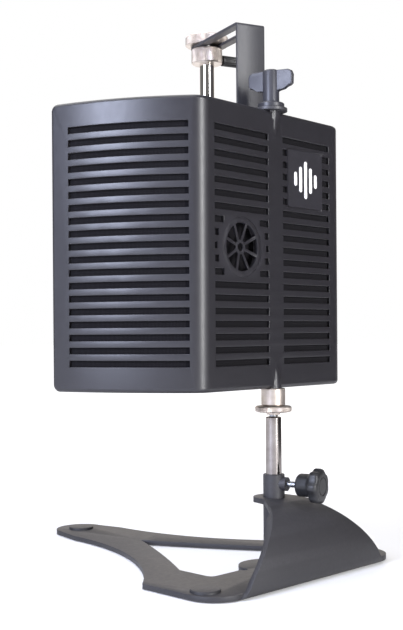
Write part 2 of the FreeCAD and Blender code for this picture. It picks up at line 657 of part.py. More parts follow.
def make_rosette():
    """Round grille: flat rim, spokes and a small hub set back from the face."""
    face = (ROSETTE_X, FACE_Y + 0.2, MID_Z)
    rim = tube(ROSETTE_R - 0.2, ROSETTE_RIM, 4.0, face, (0, 1, 0))
    step = tube(GRILLE_SEAT_R, ROSETTE_RIM, 1.2, (ROSETTE_X, FACE_Y + WALL, MID_Z), (0, 1, 0))
    hub = tube(ROSETTE_HUB, ROSETTE_HUB - 3.2, 2.2, (ROSETTE_X, FACE_Y + 2.4, MID_Z), (0, 1, 0))
    grille = rim.fuse(step).fuse(hub)
    for i in range(SPOKES):
        turn = ROSETTE_TURN + i * 360 / SPOKES
        side = SPOKE_W / 2
        # seen from the side the spoke slopes back towards the hub
        edge = [(-side, FACE_Y + 0.6, ROSETTE_RIM + 1), (-side, FACE_Y + 2.6, ROSETTE_HUB - 1.5),
                (-side, FACE_Y + 4.2, ROSETTE_HUB - 1.5), (-side, FACE_Y + 4.2, ROSETTE_RIM + 1)]
        spoke = Part.Face(polygon(edge)).extrude(Vector(SPOKE_W, 0, 0))
        spoke.rotate(Vector(0, 0, 0), Vector(0, 1, 0), turn)
        spoke.translate(Vector(ROSETTE_X, 0, MID_Z))
        grille = grille.fuse(spoke)
    save("rosette_grille", grille.removeSplitter())


def make_badge():
    """Square plate in its recess, with a plain raised level-meter sign."""
    half = BADGE_SIZE / 2 - 0.3
    z = MID_Z + BADGE_ROW * PITCH
    y = (FACE_Y - 0.4, FACE_Y + BADGE_SINK)
    plate = box((BADGE_X - half, BADGE_X + half), y, (z - half, z + half))
    upright = [e for e in plate.Edges if e.BoundBox.YLength > 1]
    plate = plate.makeFillet(2.0, upright)
    save("badge_plate", plate)
    bars = []
    for i, h in enumerate((14.0, 26.0, 38.0, 26.0, 14.0)):
        x = BADGE_X + (i - 2) * 8.4
        bar = box((x - 2.3, x + 2.3), (FACE_Y - 0.9, FACE_Y - 0.4), (z - h / 2, z + h / 2))
        ends = [e for e in bar.Edges if e.BoundBox.YLength > 0.4]
        bars.append(bar.makeFillet(2.2, ends))
    save("badge_sign", *bars)


def make_shield_metal():
    top = tube(INSERT_R, TOP_SCREW_R + RUNNING, INSERT_L, (0, 0, SHIELD_TOP - INSERT_L))
    save("top_insert", top)
    save("bottom_insert", cylinder(INSERT_R, INSERT_L, (0, 0, SHIELD_Z)))
    nut = cylinder(NUT_R, SHIELD_Z - NUT_Z, (0, 0, NUT_Z))
    nut = chamfer_rims(nut, 0.8, NUT_R, [NUT_Z, SHIELD_Z])
    bore = cylinder(STUD_R + RUNNING, STUD_TOP + 1 - NUT_Z, (0, 0, NUT_Z))
    save("adapter_nut", nut.cut(bore))
    screws = []
    for place in cover_screw_places():
        _, _, nx, ny, _ = place
        shank = cylinder(COVER_SCREW_R - 0.05, 14, along(place, THICK - 15.6), (nx, ny, 0))
        head = cylinder(COVER_HEAD_R, 1.4, along(place, THICK - 1.6), (nx, ny, 0))
        screws.append(shank.fuse(head).removeSplitter())
    save("cover_screws", *screws)


# ---------------------------------------------------------------- bracket and microphone stem
def turned(shape):
    """Turns a piece drawn along +Y to the bracket's direction."""
    shape.rotate(Vector(0, 0, 0), UP, ARM_TURN)
    return shape


def make_bracket():
    t, r = STRAP_T, STRAP_BEND
    z0, z1 = SHIELD_TOP, ARM_TOP
    y0, y1 = -STRAP_W / 2, RISER_AT
    s = r * (1 - math.sqrt(0.5))
    q = (r - 3.0) if r > 3.0 else 0.2
    k = q * (1 - math.sqrt(0.5))
    edges = [
        line((0, y0, z0), (0, y1 + t - r, z0)),
        arc((0, y1 + t - r, z0), (0, y1 + t - s, z0 + s), (0, y1 + t, z0 + r)),
        line((0, y1 + t, z0 + r), (0, y1 + t, z1 - t - q)),
        arc((0, y1 + t, z1 - t - q), (0, y1 + t + k, z1 - t - k), (0, y1 + t + q, z1 - t)),
        line((0, y1 + t + q, z1 - t), (0, ARM_END, z1 - t)),
        line((0, ARM_END, z1 - t), (0, ARM_END, z1)),
        line((0, ARM_END, z1), (0, y1 + r, z1)),
        arc((0, y1 + r, z1), (0, y1 + s, z1 - s), (0, y1, z1 - r)),
        line((0, y1, z1 - r), (0, y1, z0 + t + q)),
        arc((0, y1, z0 + t + q), (0, y1 - k, z0 + t + k), (0, y1 - q, z0 + t)),
        line((0, y1 - q, z0 + t), (0, y0, z0 + t)),
        line((0, y0, z0 + t), (0, y0, z0)),
    ]
    strap = prism(edges, (STRAP_W, 0, 0))
    strap.translate(Vector(-STRAP_W / 2, 0, 0))
    half = STRAP_W / 2
    plan = cylinder(half, 200, (0, 0, z0 - 1)).fuse(cylinder(half, 200, (0, ARM_END - half, z0 - 1)))
    plan = plan.fuse(box((-half, half), (0, ARM_END - half), (z0 - 1, z0 + 199)))
    strap = strap.common(plan)
    w = ARM_SLOT_W / 2
    slot = box((-w, w), (ARM_SLOT[0] + w, ARM_SLOT[1] - w), (z1 - 10, z1 + 5))
    for y in (ARM_SLOT[0] + w, ARM_SLOT[1] - w):
        slot = slot.fuse(cylinder(w, 15, (0, y, z1 - 10)))
    strap = strap.cut(slot).cut(cylinder(TOP_SCREW_R + 0.3, 10, (0, 0, z0 - 1)))
    save("mic_bracket", turned(strap))


def make_top_knob():
    z = SHIELD_TOP + STRAP_T + 0.1
    low = SHIELD_TOP - INSERT_L + 1
    screw = cylinder(TOP_SCREW_R, z + 14 - low, (0, 0, low))
    save("top_screw", screw)
    flange = cylinder(FLANGE_R, FLANGE_T, (0, 0, z))
    flange = chamfer_rims(flange, 0.8, FLANGE_R, [z, z + FLANGE_T])
    hub = cylinder(HANDLE_R, HANDLE_TOP - z, (0, 0, z))
    hub = hub.makeFillet(1.2, [e for e in hub.Edges if abs(e.BoundBox.ZMin - HANDLE_TOP) < 0.01])
    grip = box((-WING_T / 2, WING_T / 2), (-WING_SPAN, WING_SPAN), WING_Z)
    tips = [e for e in grip.Edges if e.BoundBox.XLength > WING_T - 0.1]
    grip = grip.makeFillet(4.0, tips)
    grip.rotate(Vector(0, 0, 0), UP, HANDLE_TURN)
    knob = hub.fuse(grip).fuse(flange)
    knob = knob.cut(cylinder(TOP_SCREW_R + 0.05, 14.2, (0, 0, z)))
    save("top_knob", knob.removeSplitter())


def make_stem():
    under = ARM_TOP - STRAP_T
    bottom = under - COLLAR_H
    at = (0, STEM_AT)
    collar = cylinder(COLLAR_R, COLLAR_H, (*at, bottom))
    collar = chamfer_rims(collar, 1.0, COLLAR_R, [bottom, under])
    collar = collar.cut(cylinder(STEM_R + RUNNING, COLLAR_H - 3, (*at, bottom)))
    collar = collar.cut(cylinder(THUMB_SCREW_R + RUNNING, COLLAR_R + 2, (*at, THUMB_Z), (1, 0, 0)))
    save("stem_collar", turned(collar))
    stud = cylinder(COLLAR_STUD_R, STRAP_T + TOP_DISC_T - 1, (*at, under))
    save("collar_stud", turned(stud))
    disc = tube(TOP_DISC_R, COLLAR_STUD_R + RUNNING, TOP_DISC_T, (*at, ARM_TOP + 0.1))
    disc = chamfer_rims(disc, 1.0, TOP_DISC_R, [ARM_TOP + 0.1, ARM_TOP + 0.1 + TOP_DISC_T])
    save("top_disc_nut", turned(disc))

    top = under - 3.2
    stem = cylinder(STEM_R, top - STEM_BOTTOM, (*at, STEM_BOTTOM))
    save("mic_stem", turned(stem))
    thread_l = THREAD_L - RELIEF[1]
    thread = cylinder(THREAD_R, thread_l, (*at, STEM_BOTTOM - THREAD_L))
    thread = chamfer_rims(thread, 0.8, THREAD_R, [STEM_BOTTOM - THREAD_L])
    thread = thread.fuse(cylinder(RELIEF[0], RELIEF[1], (*at, STEM_BOTTOM - RELIEF[1])))
    save("stem_thread", turned(thread.removeSplitter()))

    start = STEM_R + 0.05
    screw = cylinder(THUMB_SCREW_R, THUMB[0] + 8 - start, (start, STEM_AT, THUMB_Z), (1, 0, 0))
    save("thumb_screw", turned(screw))
    head = cylinder(THUMB_R, THUMB[1] - THUMB[0], (THUMB[0], STEM_AT, THUMB_Z), (1, 0, 0))
    head = head.makeFillet(1.0, [e for e in head.Edges if isinstance(e.Curve, Part.Circle)])
    bore = cylinder(THUMB_SCREW_R + 0.05, 8.2, (THUMB[0], STEM_AT, THUMB_Z), (1, 0, 0))
    save("thumb_head", turned(head.cut(bore)))


def main():
    os.makedirs("parts", exist_ok=True)
    make_base()
    make_clamp()
    make_pole()
    make_outer_cover()
    make_inner_cover()
    make_layers()
    make_rosette()
    make_badge()
    make_shield_metal()
    make_bracket()
    make_top_knob()
    make_stem()


main()
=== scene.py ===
import math
import random

import bmesh
import bpy
from mathutils import Matrix, Quaternion, Vector


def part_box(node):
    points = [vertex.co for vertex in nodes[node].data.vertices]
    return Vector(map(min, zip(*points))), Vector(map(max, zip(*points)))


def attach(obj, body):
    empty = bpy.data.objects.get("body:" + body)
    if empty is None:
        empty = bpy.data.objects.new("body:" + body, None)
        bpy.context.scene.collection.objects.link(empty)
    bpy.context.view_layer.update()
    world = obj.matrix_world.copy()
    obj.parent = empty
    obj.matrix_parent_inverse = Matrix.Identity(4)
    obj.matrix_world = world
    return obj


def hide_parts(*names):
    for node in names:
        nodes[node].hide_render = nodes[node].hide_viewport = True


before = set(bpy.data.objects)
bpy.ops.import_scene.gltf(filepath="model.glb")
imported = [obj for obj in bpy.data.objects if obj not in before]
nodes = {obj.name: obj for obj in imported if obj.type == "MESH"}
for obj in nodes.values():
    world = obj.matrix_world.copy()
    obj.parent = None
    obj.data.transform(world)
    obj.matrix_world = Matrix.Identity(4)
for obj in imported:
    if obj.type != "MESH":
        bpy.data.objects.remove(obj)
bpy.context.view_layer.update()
print("frame loaded")

mm = 0.001
zAxis = Vector((0, 0, 1))

# Changeable values: finish colours as sRGB hex.
finishHex = {
    "charcoal": "1d1c20",
    "charcoalWorn": "2b2a2f",
    "powder": "252427",
    "powderLight": "333235",
    "bracket": "343438",
    "handle": "2b2c34",
    "knobBlack": "17181a",
    "nickel": "cdc3bb",
    "nickelDark": "8e8378",
    "chrome": "e2dfdc",
    "smoke": "8f8a88",
    "smokeDark": "635b57",
    "steel": "c3c8cf",
    "brass": "b8944c",
    "rubber": "1d1d1f",
    # cloth and clothLight: the cloth's two thread colours, darkened beyond the cloth's own grey as painted
    # shade for the deep slots.
    "cloth": "100f12",
    "clothLight": "1b1a1d",
    "wool": "8b8890",
    "foil": "c9cacd",
    "sign": "dcdde2",
}


# sRGB hex to a linear RGBA tuple.
def linear(hexColour):
    out = []
    for i in (0, 2, 4):
        c = int(hexColour[i:i + 2], 16) / 255
        out.append(c / 12.92 if c <= 0.04045 else ((c + 0.055) / 1.055) ** 2.4)
    return (*out, 1.0)


# A material's node tree with short calls for the few nodes used here.
class Shader:
    def __init__(self, name):
        self.material = bpy.data.materials.new(name)
        self.material.use_nodes = True
        self.tree = self.material.node_tree
        self.bsdf = self.tree.nodes["Principled BSDF"]
        self.coords = self.add("ShaderNodeTexCoord").outputs["Object"]

    def add(self, kind, **values):
        node = self.tree.nodes.new(kind)
        for key, value in values.items():
            setattr(node, key, value)
        return node

    def link(self, source, target):
        self.tree.links.new(source, target)
        return target

    def scaled(self, stretch=(1, 1, 1)):
        mapping = self.add("ShaderNodeMapping")
        mapping.inputs["Scale"].default_value = stretch
        self.link(self.coords, mapping.inputs["Vector"])
        return mapping.outputs["Vector"]

    # Noise whose grains are about `size` millimetres across.
    def noise(self, size, detail=3.0, rough=0.5, stretch=(1, 1, 1)):
        node = self.add("ShaderNodeTexNoise")
        node.inputs["Scale"].default_value = 1000 / size
        node.inputs["Detail"].default_value = detail
        node.inputs["Roughness"].default_value = rough
        self.link(self.scaled(stretch), node.inputs["Vector"])
        return node.outputs["Fac"]

    def cells(self, size, feature="F1"):
        node = self.add("ShaderNodeTexVoronoi", feature=feature)
        node.inputs["Scale"].default_value = 1000 / size
        self.link(self.coords, node.inputs["Vector"])
        return node.outputs["Distance"]

    def wave(self, size, axis, distortion=0.0):
        node = self.add("ShaderNodeTexWave", bands_direction=axis)
        node.inputs["Scale"].default_value = 1000 / size / 20 * math.pi
        node.inputs["Distortion"].default_value = distortion
        self.link(self.coords, node.inputs["Vector"])
        return node.outputs["Fac"]

    def remap(self, source, low, high, start=0.0, end=1.0):
        node = self.add("ShaderNodeMapRange")
        node.inputs["From Min"].default_value = start
        node.inputs["From Max"].default_value = end
        node.inputs["To Min"].default_value = low
        node.inputs["To Max"].default_value = high
        self.link(source, node.inputs["Value"])
        return node.outputs["Result"]

    def mix(self, factor, dark, light):
        node = self.add("ShaderNodeMix", data_type="RGBA")
        node.inputs["A"].default_value = linear(finishHex[dark])
        node.inputs["B"].default_value = linear(finishHex[light])
        self.link(factor, node.inputs["Factor"])
        return node.outputs["Result"]

    def combine(self, first, second, operation="MULTIPLY"):
        node = self.add("ShaderNodeMath", operation=operation)
        self.link(first, node.inputs[0])
        self.link(second, node.inputs[1])
        return node.outputs["Value"]

    # Each layer is (height socket, depth in millimetres).
    def bump(self, *layers):
        normal = None
        for height, depth in layers:
            node = self.add("ShaderNodeBump")
            node.inputs["Distance"].default_value = depth * mm
            node.inputs["Strength"].default_value = 1.0
            self.link(height, node.inputs["Height"])
            if normal is not None:
                self.link(normal, node.inputs["Normal"])
            normal = node.outputs["Normal"]
        self.link(normal, self.bsdf.inputs["Normal"])

    # Bright on worn convex edges, from the mesh's pointiness.
    def edges(self, size):
        geometry = self.add("ShaderNodeNewGeometry")
        return self.remap(geometry.outputs["Pointiness"], 0.0, 1.0, 0.51, 0.51 + size)

    def set(self, **values):
        names = {"metal": "Metallic", "rough": "Roughness", "specular": "Specular IOR Level",
                 "coat": "Coat Weight", "coatRough": "Coat Roughness", "sheen": "Sheen Weight",
                 "sheenRough": "Sheen Roughness"}
        for key, value in values.items():
            self.bsdf.inputs[names[key]].default_value = value


# Moulded plastic with a spark-eroded texture, slight mottling and paler edges.
def texturedPlastic(name, base, worn, rough, grain, depth):
    s = Shader(name)
    mottle = s.noise(38.0, 2.0)
    edge = s.combine(s.edges(0.06), s.noise(3.0))
    tone = s.combine(s.remap(mottle, 0.0, 0.35), edge, "ADD")
    s.link(s.mix(tone, base, worn), s.bsdf.inputs["Base Color"])
    s.link(s.remap(s.noise(6.0, 4.0), rough - 0.05, rough + 0.06), s.bsdf.inputs["Roughness"])
    s.bump((s.cells(grain), depth), (s.noise(grain * 2.2, 3.0), depth))
    s.set(specular=0.5)
    return s.material


# Baked powder coat: fine orange peel over a sandy grain.
def powderCoat(name, base, worn, rough):
    s = Shader(name)
    tone = s.combine(s.remap(s.noise(60.0, 3.0), 0.0, 0.5), s.combine(s.edges(0.08), s.noise(2.5)), "ADD")
    s.link(s.mix(tone, base, worn), s.bsdf.inputs["Base Color"])
    s.link(s.remap(s.noise(4.0, 4.0), rough - 0.07, rough + 0.08), s.bsdf.inputs["Roughness"])
    s.bump((s.noise(0.55, 3.0, 0.6), 0.035), (s.cells(1.4, "SMOOTH_F1"), 0.05))
    s.set(specular=0.45)
    return s.material


# Plated metal. `lay` stretches the grain the way it was turned or drawn.
def plated(name, light, dark, rough, lay=(1, 1, 1)):
    s = Shader(name)
    smudge = s.noise(9.0, 4.0)
    grain = s.noise(0.8, 4.0, 0.6, lay)
    s.link(s.mix(s.remap(smudge, 0.0, 0.6, 0.35, 0.8), light, dark), s.bsdf.inputs["Base Color"])
    s.link(s.remap(grain, rough * 0.7, rough * 1.4), s.bsdf.inputs["Roughness"])
    s.bump((grain, 0.006))
    s.set(metal=1.0)
    return s.material


# Plain acoustic cloth: crossing threads with a little fuzz.
def wovenCloth(name, dark, light, thread):
    s = Shader(name)
    warp = s.wave(thread, "Z")
    weft = s.wave(thread, "X", 0.3)
    weave = s.combine(warp, weft)
    tone = s.combine(weave, s.noise(14.0, 3.0))
    s.link(s.mix(tone, dark, light), s.bsdf.inputs["Base Color"])
    s.bump((weave, 0.12), (s.noise(0.9, 4.0, 0.7), 0.08))
    s.set(rough=0.95, sheen=0.04, sheenRough=0.6, specular=0.05)
    return s.material


# Felted wool with matted fibres.
def pressedWool(name, dark, light):
    s = Shader(name)
    fibre = s.noise(2.2, 6.0, 0.75, (1, 1, 3))
    s.link(s.mix(fibre, dark, light), s.bsdf.inputs["Base Color"])
    s.bump((fibre, 0.5), (s.noise(0.4, 4.0, 0.8), 0.2))
    s.set(rough=0.95, sheen=0.5, sheenRough=0.5, specular=0.1)
    return s.material


def rubberFoot(name):
    s = Shader(name)
    s.link(s.mix(s.noise(5.0), "rubber", "knobBlack"), s.bsdf.inputs["Base Color"])
    s.bump((s.noise(0.7, 4.0), 0.05))
    s.set(rough=0.82, specular=0.3)
    return s.material


# Satin moulding that catches one soft highlight, with a fine grain and paler rims.
shieldPlastic = texturedPlastic("satinCharcoalPlastic", "charcoal", "charcoalWorn", 0.36, 0.45, 0.012)
# Bluer and a little duller than the shield.
handlePlastic = texturedPlastic("blueGreyPlastic", "handle", "charcoalWorn", 0.40, 0.6, 0.02)
# Dull black that shows its form only at the edges.
knobPlastic = texturedPlastic("mattBlackPlastic", "knobBlack", "powder", 0.45, 0.6, 0.03)
# Dry, sandy paint with an orange peel.
basePaint = powderCoat("charcoalPowderCoat", "powder", "powderLight", 0.52)
# A shade lighter and smoother than the base.
bracketPaint = powderCoat("darkGreyPowderCoat", "bracket", "powderLight", 0.42)
# Warm metal with a blurred shine.
nickel = plated("satinNickel", "nickel", "nickelDark", 0.38)
# Darkened mirror with streaks along its length.
smokedChrome = plated("smokedChrome", "smoke", "smokeDark", 0.12, (1, 1, 0.05))
# Clear mirror in bright and dark lines.
chrome = plated("brightChrome", "chrome", "nickel", 0.06, (1, 1, 0.05))
# Cool, lightly brushed shine.
steel = plated("zincPlatedSteel", "steel", "nickelDark", 0.28, (1, 1, 6))
# A yellow glint round the inserts.
brass = plated("machinedBrass", "brass", "nickelDark", 0.3)
# A bright sheet with a rolled lay.
foil = plated("rolledFoil", "foil", "steel", 0.2, (6, 6, 1))
# Dark weave behind the slots: its near-black colour is partly the cloth's own and partly painted shade for
# the deep slots.
cloth = wovenCloth("acousticClothWithPaintedSlotShade", "cloth", "clothLight", 0.9)
# Pale matted fibres without a highlight.
wool = pressedWool("pressedWoolFelt", "clothLight", "wool")
# Soft black with no shine.
rubber = rubberFoot("mattRubber")
# Plain pale print that stays readable in shade.
signPrint = texturedPlastic("paleGreyPrint", "sign", "chrome", 0.4, 0.8, 0.004)
print("materials made")


def newObject(name, mesh, body, slot, material, *replaced):
    piece = bpy.data.objects.new(name, mesh)
    bpy.context.scene.collection.objects.link(piece)
    if not mesh.materials:
        mesh.materials.append(material)
    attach(piece, body)
    if replaced:
        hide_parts(*replaced)
    return piece


def meshFrom(bm, name, smoothAngle=35.0):
    bmesh.ops.recalc_face_normals(bm, faces=bm.faces)
    mesh = bpy.data.meshes.new(name)
    bm.to_mesh(mesh)
    bm.free()
    mesh.shade_smooth()
    mesh.set_sharp_from_angle(angle=math.radians(smoothAngle))
    return mesh


# Turns (radius, height) points in millimetres about Z; radiusAt(angle, r, h) may shape the rim.
def lathe(profile, steps, bm=None, radiusAt=None):
    bm = bm or bmesh.new()
    rings = []
    for r, h in profile:
        ring = []
        for i in range(steps):
            a = 2 * math.pi * i / steps
            rr = radiusAt(a, r, h) if radiusAt else r
            ring.append(bm.verts.new((rr * math.cos(a) * mm, rr * math.sin(a) * mm, h * mm)))
        rings.append(ring)
    for low, high in zip(rings, rings[1:]):
        for i in range(steps):
            j = (i + 1) % steps
            bm.faces.new((low[i], low[j], high[j], high[i]))
    for ring in (rings[0], rings[-1]):
        if profile[rings.index(ring)][0] > 0:
            bm.faces.new(ring)
    return bm


# Moves what is drawn along +Z at the origin to a place, pointing along a direction.
def standOn(bm, place, direction):
    turn = zAxis.rotation_difference(Vector(direction)).to_matrix().to_4x4()
    bm.transform(Matrix.Translation(Vector(place)) @ turn)
    return bm


# A screw thread as one helical strip, closed at both ends, in millimetres.
def threadRod(radius, pitch, length, depth, steps=36):
    bm = bmesh.new()
    turns = length / pitch
    count = int(turns * steps)
    section = ((0.0, -depth), (0.25, -depth), (0.5, 0.0), (0.72, 0.0), (1.0, -depth))
    rows = []
    for i in range(count + 1):
        a = 2 * math.pi * i / steps
        rise = i / steps * pitch
        row = []
        for share, cut in section:
            h = min(max(rise - pitch + share * pitch, 0.0), length)
            r = radius + cut
            row.append(bm.verts.new((r * math.cos(a) * mm, r * math.sin(a) * mm, h * mm)))
        rows.append(row)
    for low, high in zip(rows, rows[1:]):
        for j in range(len(section) - 1):
            bm.faces.new((low[j], high[j], high[j + 1], low[j + 1]))
    core = radius - depth + 0.02
    lathe([(core, 0.0), (core, length)], steps, bm)
    return bm


def nodeCentre(name):
    low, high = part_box(name)
    return (Vector(low) + Vector(high)) / 2


# Changeable values, millimetres and degrees: how close points and how level faces have to be to become one,
# the bevel's shape, the angles where the shading breaks, and the least height of an upright face.
shapingValues = {
    "weld": 0.002, "level": 0.6, "segments": 2, "bevelFrom": 32.0, "roundedBreak": 40.0, "evenedBreak": 30.0,
    "upright": 0.3,
}


# A mesh as one modifier leaves it.
def modified(mesh, name, kind, **values):
    piece = bpy.data.objects.new(name, mesh)
    bpy.context.scene.collection.objects.link(piece)
    modifier = piece.modifiers.new(name, kind)
    for key, value in values.items():
        setattr(modifier, key, value)
    depsgraph = bpy.context.evaluated_depsgraph_get()
    final = bpy.data.meshes.new_from_object(piece.evaluated_get(depsgraph))
    bpy.data.objects.remove(piece)
    bpy.data.meshes.remove(mesh)
    final.name = name
    return final


# A CAD node's mesh, ready to be shaped.
def plainCopy(name):
    mesh = nodes[name].data.copy()
    mesh.materials.clear()
    bm = bmesh.new()
    bm.from_mesh(mesh)
    return mesh, bm


# A CAD node's mesh with its sharp edges rounded over by a bevel.
def softened(name, width):
    mesh, bm = plainCopy(name)
    bmesh.ops.remove_doubles(bm, verts=bm.verts, dist=shapingValues["weld"] * mm)
    level = math.radians(shapingValues["level"])
    bmesh.ops.dissolve_limit(bm, angle_limit=level, verts=bm.verts, edges=bm.edges)
    bm.to_mesh(mesh)
    bm.free()
    final = modified(mesh, name + "Rounded", "BEVEL", width=width * mm, segments=shapingValues["segments"],
                     limit_method="ANGLE", angle_limit=math.radians(shapingValues["bevelFrom"]),
                     use_clamp_overlap=True, harden_normals=False)
    final.shade_smooth()
    final.set_sharp_from_angle(angle=math.radians(shapingValues["roundedBreak"]))
    return final


# Changeable values: the eye point from the pole's foot and the lens in millimetres, the heading and roll in
# degrees, and the picture's lift as a share of its size.
cameraValues = {"eye": (-826.2, -647.6, 237.9), "turn": 48.06, "lens": 60.54, "lift": 0.0271, "roll": -0.42}

poleAxis = nodeCentre("pole")
poleFoot = Vector((poleAxis.x, poleAxis.y, 0))


def setCamera():
    data = bpy.data.cameras.new("camera")
    camera = bpy.data.objects.new("camera", data)
    bpy.context.scene.collection.objects.link(camera)
    heading = math.radians(cameraValues["turn"])
    look = Vector((math.sin(heading), math.cos(heading), 0))
    camera.location = poleFoot + Vector(cameraValues["eye"]) * mm
    roll = Quaternion((0, 0, 1), math.radians(cameraValues["roll"]))
    camera.rotation_euler = (look.to_track_quat("-Z", "Y") @ roll).to_euler()
    data.sensor_width = 36
    data.lens = cameraValues["lens"]
    data.shift_y = cameraValues["lift"]
    data.clip_start = 0.05
    bpy.context.scene.camera = camera


setCamera()


# Changeable values: the room's glow, the floor's glow near and far (and those distances in metres), the dark
# flag that the pole reflects, and each softbox's place and aim (metres from the pole's foot), width, height,
# power and tint.
studioValues = {
    "world": 0.2,
    "sky": 1.0,
    "floorGlow": (0.2, 1.0),
    "glowReach": (0.4, 1.7),
    "flag": ((0.75, -0.62, 0.6), (0.0, 0.0, 0.6), 1.5, 1.2),
    "flagCloth": "2a231f",
    "paper": "d6d6d8",
    "lights": {
        "leftSoftbox": ((-1.78, 0.1, 0.98), (-0.1, 0.0, 0.36), 0.55, 1.1, 56.0, "dce4ff"),
        "frontStrip": ((-0.2, -1.9, 0.75), (-0.1, 0.0, 0.3), 0.3, 1.5, 48.0, "ffffff"),
        "topSoftbox": ((-0.2, 0.7, 2.0), (0.0, 0.1, 0.2), 1.8, 1.8, 30.0, "ffffff"),
        "backSoftbox": ((1.5, 1.4, 0.75), (0.0, 0.0, 0.15), 2.2, 1.2, 11.0, "fff6ee"),
        "floorFill": ((-1.3, -0.9, 1.9), (-0.3, -0.2, 0.0), 1.2, 1.2, 8.0, "ffffff"),
    },
}


def planeObject(name, place, aim, width, height, material):
    bm = bmesh.new()
    bmesh.ops.create_grid(bm, x_segments=1, y_segments=1, size=0.5)
    bmesh.ops.scale(bm, vec=(width, height, 1), verts=bm.verts)
    mesh = bpy.data.meshes.new(name)
    bm.to_mesh(mesh)
    bm.free()
    mesh.materials.append(material)
    sheet = bpy.data.objects.new(name, mesh)
    bpy.context.scene.collection.objects.link(sheet)
    sheet.location = place
    sheet.rotation_euler = aim.to_track_quat("Z", "Y").to_euler()
    return sheet


def makeStudio():
    paper = Shader("whitePaper")
    paper.bsdf.inputs["Base Color"].default_value = linear(studioValues["paper"])
    paper.set(rough=0.6, specular=0.2)
    reach = paper.add("ShaderNodeVectorMath", operation="LENGTH")
    paper.link(paper.coords, reach.inputs[0])
    near, far = studioValues["floorGlow"]
    paper.bsdf.inputs["Emission Color"].default_value = linear("ffffff")
    glow = paper.remap(reach.outputs["Value"], near, far, *studioValues["glowReach"])
    paper.link(glow, paper.bsdf.inputs["Emission Strength"])
    planeObject("floor", Vector((0, 0, 0)), zAxis, 30.0, 30.0, paper.material)
    dark = Shader("flagCloth")
    dark.bsdf.inputs["Base Color"].default_value = linear(studioValues["flagCloth"])
    at, aim, width, height = studioValues["flag"]
    toward = Vector(aim) - Vector(at)
    toward.z = 0
    flag = planeObject("flag", poleFoot + Vector(at), toward, width, height, dark.material)
    flag.visible_camera = False
    flag.visible_shadow = False
    world = bpy.data.worlds.new("studio")
    world.use_nodes = True
    tree = world.node_tree
    room = tree.nodes["Background"]
    room.inputs["Strength"].default_value = studioValues["world"]
    room.inputs["Color"].default_value = linear("ffffff")
    sky = tree.nodes.new("ShaderNodeBackground")
    sky.inputs["Color"].default_value = linear("ffffff")
    sky.inputs["Strength"].default_value = studioValues["sky"]
    rays = tree.nodes.new("ShaderNodeLightPath")
    join = tree.nodes.new("ShaderNodeMixShader")
    tree.links.new(rays.outputs["Is Camera Ray"], join.inputs[0])
    tree.links.new(room.outputs[0], join.inputs[1])
    tree.links.new(sky.outputs[0], join.inputs[2])
    tree.links.new(join.outputs[0], tree.nodes["World Output"].inputs["Surface"])
    bpy.context.scene.world = world
    for name, (place, aim, width, height, power, tint) in studioValues["lights"].items():
        data = bpy.data.lights.new(name, "AREA")
        data.shape = "RECTANGLE"
        data.size = width
        data.size_y = height
        data.energy = power
        data.color = linear(tint)[:3]
        light = bpy.data.objects.new(name, data)
        bpy.context.scene.collection.objects.link(light)
        light.location = poleFoot + Vector(place)
        toward = Vector(aim) - Vector(place)
        light.rotation_euler = toward.to_track_quat("-Z", "Y").to_euler()
        light.visible_camera = False


makeStudio()
bpy.context.scene.view_settings.view_transform = "Standard"
print("camera and studio set")

cadFinishes = {
    "base_tube": basePaint, "clamp_boss": basePaint, "tube_plug": steel, "pole": smokedChrome,
    "pole_end_plug": knobPlastic, "outer_cover": shieldPlastic, "inner_cover": shieldPlastic,
    "foil_sheet": foil, "spacer_bars": knobPlastic, "rosette_grille": shieldPlastic,
    "badge_plate": shieldPlastic, "badge_sign": signPrint, "top_insert": brass,
    "bottom_insert": brass, "top_screw": steel, "mic_stem": chrome, "collar_stud": steel,
    "base_plate": basePaint, "rubber_feet": rubber, "base_screw": steel, "clamp_screw": steel,
    "clamp_knob": knobPlastic, "pole_stud": steel, "lock_disc": nickel, "adapter_nut": nickel,
    "outer_scrim": cloth, "outer_wool": wool, "inner_wool": wool, "inner_scrim": cloth,
    "rosette_cloth": cloth, "cover_screws": steel, "mic_bracket": bracketPaint,
    "top_knob": handlePlastic, "stem_collar": nickel, "top_disc_nut": nickel,
    "stem_thread": steel, "thumb_screw": steel, "thumb_head": knobPlastic,
}
for nodeName, finish in cadFinishes.items():
    for slotIndex in range(len(nodes[nodeName].material_slots)):
        nodes[nodeName].material_slots[slotIndex].material = finish
print("CAD nodes finished")

# Changeable values: node, bevel width in millimetres, body, slot, material.
roundedNodes = (
    ("base_plate", 0.9, "stand", "powder_coat", basePaint),
    ("mic_bracket", 0.4, "bracket", "bracket_paint", bracketPaint),
    ("rosette_grille", 0.25, "shield", "shield_plastic", shieldPlastic),
    ("badge_sign", 0.12, "shield", "sign", signPrint),
    ("rubber_feet", 0.3, "stand", "rubber", rubber),
)
for nodeName, width, body, slot, finish in roundedNodes:
    newObject(nodeName + "Rounded", softened(nodeName, width), body, slot, finish, nodeName)


# A CAD node's mesh with most of the long triangles across its curved bands turned to follow the curve.
def evened(name):
    mesh, bm = plainCopy(name)
    upright = set()
    for face in bm.faces:
        heights = [v.co.z for v in face.verts]
        if max(heights) - min(heights) > shapingValues["upright"] * mm:
            upright.add(face)
    inner = [e for e in bm.edges if len(e.link_faces) == 2 and all(f in upright for f in e.link_faces)]
    bmesh.ops.beautify_fill(bm, faces=list(upright), edges=inner, method="ANGLE")
    bmesh.ops.remove_doubles(bm, verts=bm.verts, dist=shapingValues["weld"] * mm)
    bm.to_mesh(mesh)
    bm.free()
    mesh.shade_smooth()
    mesh.set_sharp_from_angle(angle=math.radians(shapingValues["evenedBreak"]))
    return modified(mesh, name + "Evened", "WEIGHTED_NORMAL", keep_sharp=True)


